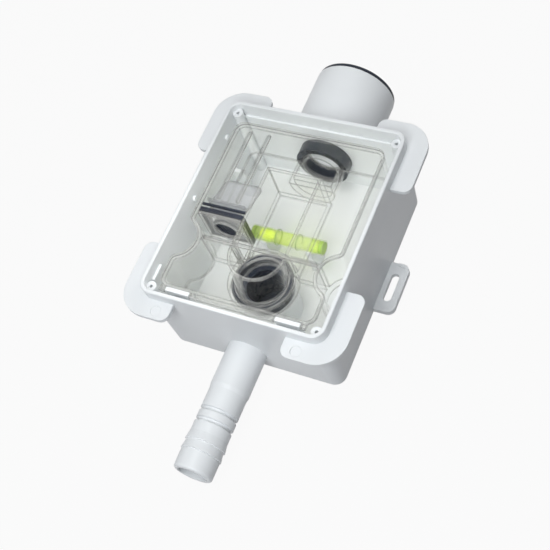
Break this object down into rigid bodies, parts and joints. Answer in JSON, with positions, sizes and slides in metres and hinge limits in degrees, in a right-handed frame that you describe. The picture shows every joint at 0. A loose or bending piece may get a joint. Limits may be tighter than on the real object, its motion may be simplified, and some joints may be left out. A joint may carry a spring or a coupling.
{
  "type": "waterless condensate trap",
  "caption": "Dry waterless trap in a white wall box: clear one-way valve cartridge, ribbed hose barb, outlet socket with lip seal, level vial.",
  "frame": {"origin": "centre of the flat back face of the box", "axes": "+Z out of the mouth of the box, +Y towards the outlet socket, +X to the right of somebody who looks into the box with the outlet up"},
  "size_m": [0.111, 0.2108, 0.0515],
  "materials": {
    "white_plastic": "smooth satin",
    "black_rubber": "soft, slightly shiny",
    "clear_plastic": "clear, polished",
    "grey_plastic": "smoky, polished",
    "vial_clear": "clear, polished",
    "vial_liquid": "coloured liquid",
    "vial_air": "air bubble",
    "vial_plug": "smooth",
    "dark_mark": "printed ring",
    "magnet": "plated",
    "pin_steel": "ground"
  },
  "bodies": {
    "box": {"housing": "white_plastic", "outlet_lip_seal": "black_rubber", "inlet_seal": "black_rubber", "vial_tube": "vial_clear", "vial_liquid": "vial_liquid", "vial_bubble": "vial_air", "vial_plugs": "vial_plug", "vial_marks": "dark_mark"},
    "cartridge": {"cartridge_tray": "clear_plastic", "cartridge_cover": "clear_plastic", "outlet_seal": "black_rubber", "valve_seat": "clear_plastic", "valve_gasket": "black_rubber", "seat_ring": "black_rubber", "seat_magnet": "magnet", "hinge_pin": "pin_steel", "valve_strip": "black_rubber", "flap_guard": "grey_plastic"},
    "flap": {"flap_plate": "grey_plastic", "flap_pad": "black_rubber", "flap_magnet": "magnet"}
  },
  "joints": [
    {"name": "cartridge_slide", "type": "slide", "parent": "box", "child": "cartridge", "axis": [0, 0, 1], "range_m": [0, 0.045]},
    {"name": "flap_hinge", "type": "hinge", "parent": "cartridge", "child": "flap", "pos_m": [-0.02555, -0.0022, 0.0429], "axis": [1, 0, 0], "range_deg": [0, 65], "stiffness_Nm_per_rad": 0.0001, "springref_deg": -17.19}
  ]
}
